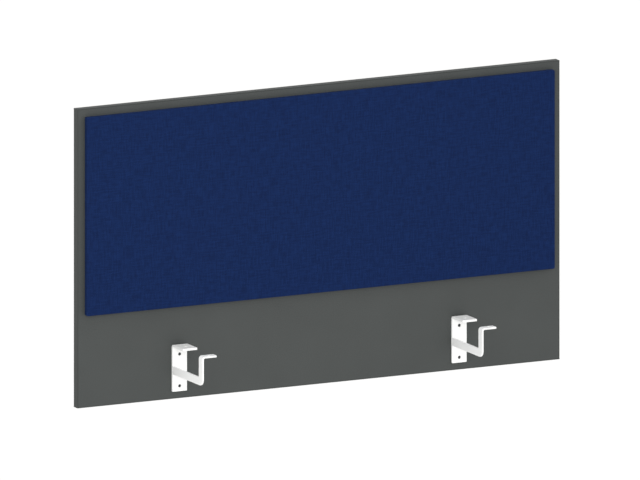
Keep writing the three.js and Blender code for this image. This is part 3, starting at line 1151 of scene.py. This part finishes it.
        # flat cloth coordinates: along the side as it lies, and outwards by the cloth's own run
        alongX, alongZ = side["along"]
        outX, outZ = side["out"]
        start = side["reach"] - c["frameInset"]
        for loop, s in zip(face.loops, span):
            x, z = loop.vert.co.x - middle.x, loop.vert.co.z - middle.z
            t = x * alongX + z * alongZ
            loop[uvs].uv = (alongX * t + outX * (start + s), alongZ * t + outZ * (start + s))

    total = len(rings[0])
    for r, (near, far) in enumerate(zip(rings, rings[1:])):
        for i in range(total):
            j = (i + 1) % total
            face = bm.faces.new((near[i], far[i], far[j], near[j]))
            layUv(face, sides[owners[i]], (spans[r], spans[r + 1], spans[r + 1], spans[r]))

    # the even grid of the front, on the same steps as the frame round it
    def gridLines(side):
        long = side["half"] - c["frameInset"]
        steps = cornerSteps(0, None, False)[0]
        places = steps + middleSteps(side, long) + [2 * long - s for s in reversed(steps)]
        return [d - long for d in places]

    xs, zs = gridLines(sides[0]), gridLines(sides[1])
    rows = [[bm.verts.new((middle.x + x, front - crownAt(x, z), middle.z + z)) for x in xs] for z in zs]
    for a, b in zip(rows, rows[1:]):
        for i in range(len(xs) - 1):
            face = bm.faces.new((a[i], a[i + 1], b[i + 1], b[i]))
            for loop in face.loops:
                loop[uvs].uv = (loop.vert.co.x - middle.x, loop.vert.co.z - middle.z)
    bmesh.ops.remove_doubles(bm, verts=bm.verts, dist=2 * mergeWithin)
    bmesh.ops.recalc_face_normals(bm, faces=bm.faces)
    widest = max(bm.faces, key=lambda f: f.calc_area())     # one of the front's
    if widest.normal.y > 0:
        bmesh.ops.reverse_faces(bm, faces=bm.faces)
    mesh = meshFrom(bm, "cover")
    smoothShade(mesh, angle=50)
    piece = finishPiece("padCover", mesh, cloth, ["pad_cover"])
    solid = piece.modifiers.new("cloth thickness", "SOLIDIFY")
    solid.thickness = c["thick"]
    solid.offset = -1


makeFelt()
makeCover()
print("pad covered")


padStaple = {
    "pitch": 46 * mm,
    "inset": 15 * mm,         # from the pad's edge
    "crown": 10 * mm,         # length of the bar that shows
    "leg": 6 * mm,
    "wire": (1.1 * mm, 0.55 * mm),
    "bend": 0.7 * mm,
    "bendSteps": 4,
    "ease": 0.1 * mm,
    "proud": 0.12 * mm,       # how far the bar stands out of the cloth
    "tilt": 0.2,              # radians either way
    "seed": 7,
}


def stapleMesh():
    # flat wire bent twice, with its bar along X at y = 0 and its legs towards -Y
    s = padStaple
    half, bend = s["crown"] / 2, s["bend"]
    turns = ramp(0, math.pi / 2, s["bendSteps"])
    centre = (
        [(-half, -s["leg"])]
        + [(-half + bend - bend * math.cos(t), -bend + bend * math.sin(t)) for t in turns]
        + [(half - bend + bend * math.sin(t), -bend + bend * math.cos(t)) for t in turns]
        + [(half, -s["leg"])]
    )
    wide, thick = s["wire"]
    bm = bmesh.new()
    rings = []
    for i, (x, y) in enumerate(centre):
        before, after = centre[max(i - 1, 0)], centre[min(i + 1, len(centre) - 1)]
        way = Vector((after[0] - before[0], after[1] - before[1])).normalized()
        out = Vector((-way.y, way.x)) * thick / 2
        corners = ((out, wide / 2), (out, -wide / 2), (-out, -wide / 2), (-out, wide / 2))
        rings.append([bm.verts.new((x + o.x, y + o.y, w)) for o, w in corners])
    for a, b in zip(rings, rings[1:]):
        for i in range(4):
            bm.faces.new((a[i], a[(i + 1) % 4], b[(i + 1) % 4], b[i]))
    bm.faces.new(rings[0])
    bm.faces.new(rings[-1])
    bmesh.ops.recalc_face_normals(bm, faces=bm.faces)
    bmesh.ops.bevel(bm, geom=bm.edges[:], offset=s["ease"], segments=1, affect="EDGES")
    return meshFrom(bm, "staple")


def makeStaples():
    s = padStaple
    low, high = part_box("pad_cover")
    y = high.y + s["proud"] - s["wire"][1] / 2
    a, b = low.x + s["inset"], high.x - s["inset"]
    lowZ, highZ = low.z + s["inset"], high.z - s["inset"]
    places = []
    for x in ramp(a + s["crown"], b - s["crown"], round((b - a) / s["pitch"])):
        places += [(x, y, lowZ, 0), (x, y, highZ, 0)]
    # the two upright rows start a pitch in from either end
    for z in ramp(lowZ + s["pitch"], highZ - s["pitch"], round((highZ - lowZ) / s["pitch"]) - 2):
        places += [(a, y, z, math.pi / 2), (b, y, z, math.pi / 2)]
    mesh = bpy.data.meshes.new("staplePlaces")
    mesh.from_pydata([p[:3] for p in places], [], [])
    mesh.attributes.new("way", "FLOAT", "POINT").data.foreach_set("value", [p[3] for p in places])
    staple = linkedObject("stapleMaster", stapleMesh())
    tree, given = newTree("staplesRound", {
        "Staple": ("NodeSocketObject", None),
        "Tilt": ("NodeSocketFloat", s["tilt"]),
        "Seed": ("NodeSocketInt", s["seed"]),
    })
    source = addNode(tree, "GeometryNodeObjectInfo", {"Object": given["Staple"]})
    least = addNode(tree, "ShaderNodeMath", {0: given["Tilt"], 1: -1.0}, operation="MULTIPLY")
    tilt = addNode(tree, "FunctionNodeRandomValue", {
        "Min": least.outputs["Value"], "Max": given["Tilt"], "Seed": given["Seed"],
    }, data_type="FLOAT")
    way = addNode(tree, "GeometryNodeInputNamedAttribute", {"Name": "way"}, data_type="FLOAT")
    turn = addNode(tree, "ShaderNodeMath", {
        0: tilt.outputs["Value"], 1: way.outputs["Attribute"],
    }, operation="ADD")
    about = addNode(tree, "ShaderNodeCombineXYZ", {"Y": turn.outputs["Value"]})
    placed = addNode(tree, "GeometryNodeInstanceOnPoints", {
        "Points": given["Geometry"], "Instance": source.outputs["Geometry"],
        "Rotation": about.outputs["Vector"],
    })
    endTree(tree, placed.outputs["Instances"], stapleWire)
    staples = runTree("staples", mesh, tree, {"Staple": staple})
    bpy.data.objects.remove(staple)
    finishPiece("padStaples", staples, stapleWire)


makeStaples()
print("cover stapled")
